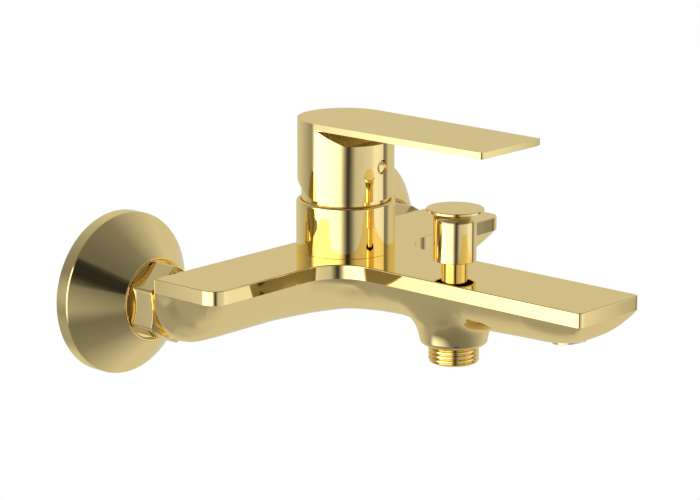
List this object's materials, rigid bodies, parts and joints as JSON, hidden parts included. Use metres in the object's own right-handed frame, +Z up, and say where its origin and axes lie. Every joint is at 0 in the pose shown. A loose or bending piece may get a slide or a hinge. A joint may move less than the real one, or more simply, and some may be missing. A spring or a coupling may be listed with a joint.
{
  "type": "wall mounted bath faucet",
  "caption": "Wall mounted bath mixer with a flat T-shaped spout deck, swivelling single lever, pull-up diverter, threaded shower outlet and eccentric wall unions.",
  "frame": {"origin": "on the wall plane, midway between the two inlet axes", "axes": "+X along the wall to the user's right, +Y into the wall, +Z up; the spout reaches along -Y"},
  "size_m": [0.219, 0.2217, 0.1062],
  "materials": {
    "gold_finish": "mirror polished pale gold",
    "plain_brass": "machined, unplated",
    "stainless_steel": "turned and ground",
    "seal_rubber": "moulded, matte",
    "disc_ceramic": "lapped white alumina",
    "white_plastic": "moulded acetal"
  },
  "bodies": {
    "faucet_body": {"body_casting": "gold_finish", "collar": "gold_finish", "cartridge_cover": "gold_finish", "cartridge_nut": "plain_brass", "cartridge_housing": "white_plastic", "fixed_disc": "disc_ceramic", "cartridge_base": "white_plastic", "cartridge_seals": "seal_rubber", "wall_flange_left": "gold_finish", "wall_flange_right": "gold_finish", "eccentric_union_left": "plain_brass", "eccentric_union_right": "plain_brass", "union_nut_left": "gold_finish", "union_nut_right": "gold_finish", "union_washer_left": "seal_rubber", "union_washer_right": "seal_rubber", "inlet_seat_left": "plain_brass", "inlet_seat_right": "plain_brass", "diverter_bush": "gold_finish", "diverter_gland": "plain_brass", "diverter_spring": "stainless_steel", "rod_seal": "seal_rubber", "upper_seat_ring": "plain_brass", "shower_nipple": "gold_finish", "check_valve_body": "white_plastic", "check_valve_spring": "stainless_steel", "aerator_housing": "gold_finish", "aerator_insert": "white_plastic", "aerator_seal": "seal_rubber"},
    "rotor": {"cartridge_rotor": "white_plastic", "pivot_pin": "stainless_steel"},
    "disc": {"disc_carrier": "white_plastic", "moving_disc": "disc_ceramic"},
    "lever": {"handle_lever": "gold_finish", "index_plug": "gold_finish", "handle_grub_screw": "stainless_steel", "cartridge_spindle": "plain_brass"},
    "diverter": {"diverter_knob": "gold_finish", "diverter_rod": "stainless_steel", "spring_clip": "stainless_steel", "diverter_valve": "seal_rubber", "valve_screw": "stainless_steel"},
    "check_valve": {"check_valve_poppet": "white_plastic"}
  },
  "joints": [
    {"name": "temperature_swivel", "type": "hinge", "parent": "faucet_body", "child": "rotor", "pos_m": [0, -0.06243, 0.03998], "axis": [0, 0, 1], "range_deg": [-50, 50]},
    {"name": "flow_tilt", "type": "hinge", "parent": "rotor", "child": "lever", "pos_m": [0, -0.06243, 0.03998], "axis": [-1, 0, 0], "range_deg": [0, 25]},
    {"name": "disc_slide", "type": "slide", "parent": "rotor", "child": "disc", "axis": [0, -1, 0], "range_m": [0, 0.0082]},
    {"name": "diverter_lift", "type": "slide", "parent": "faucet_body", "child": "diverter", "axis": [0, 0, 1], "range_m": [0, 0.008], "stiffness_N_per_m": 120, "springref_m": -0.008, "deforming": ["diverter_spring"]},
    {"name": "check_valve_travel", "type": "slide", "parent": "faucet_body", "child": "check_valve", "axis": [0, 0, -1], "range_m": [0, 0.002], "stiffness_N_per_m": 50, "springref_m": -0.002, "deforming": ["check_valve_spring"]}
  ],
  "couplings": [
    {"joint": "disc_slide", "follows": "flow_tilt", "m_per_rad": 0.01856}
  ]
}
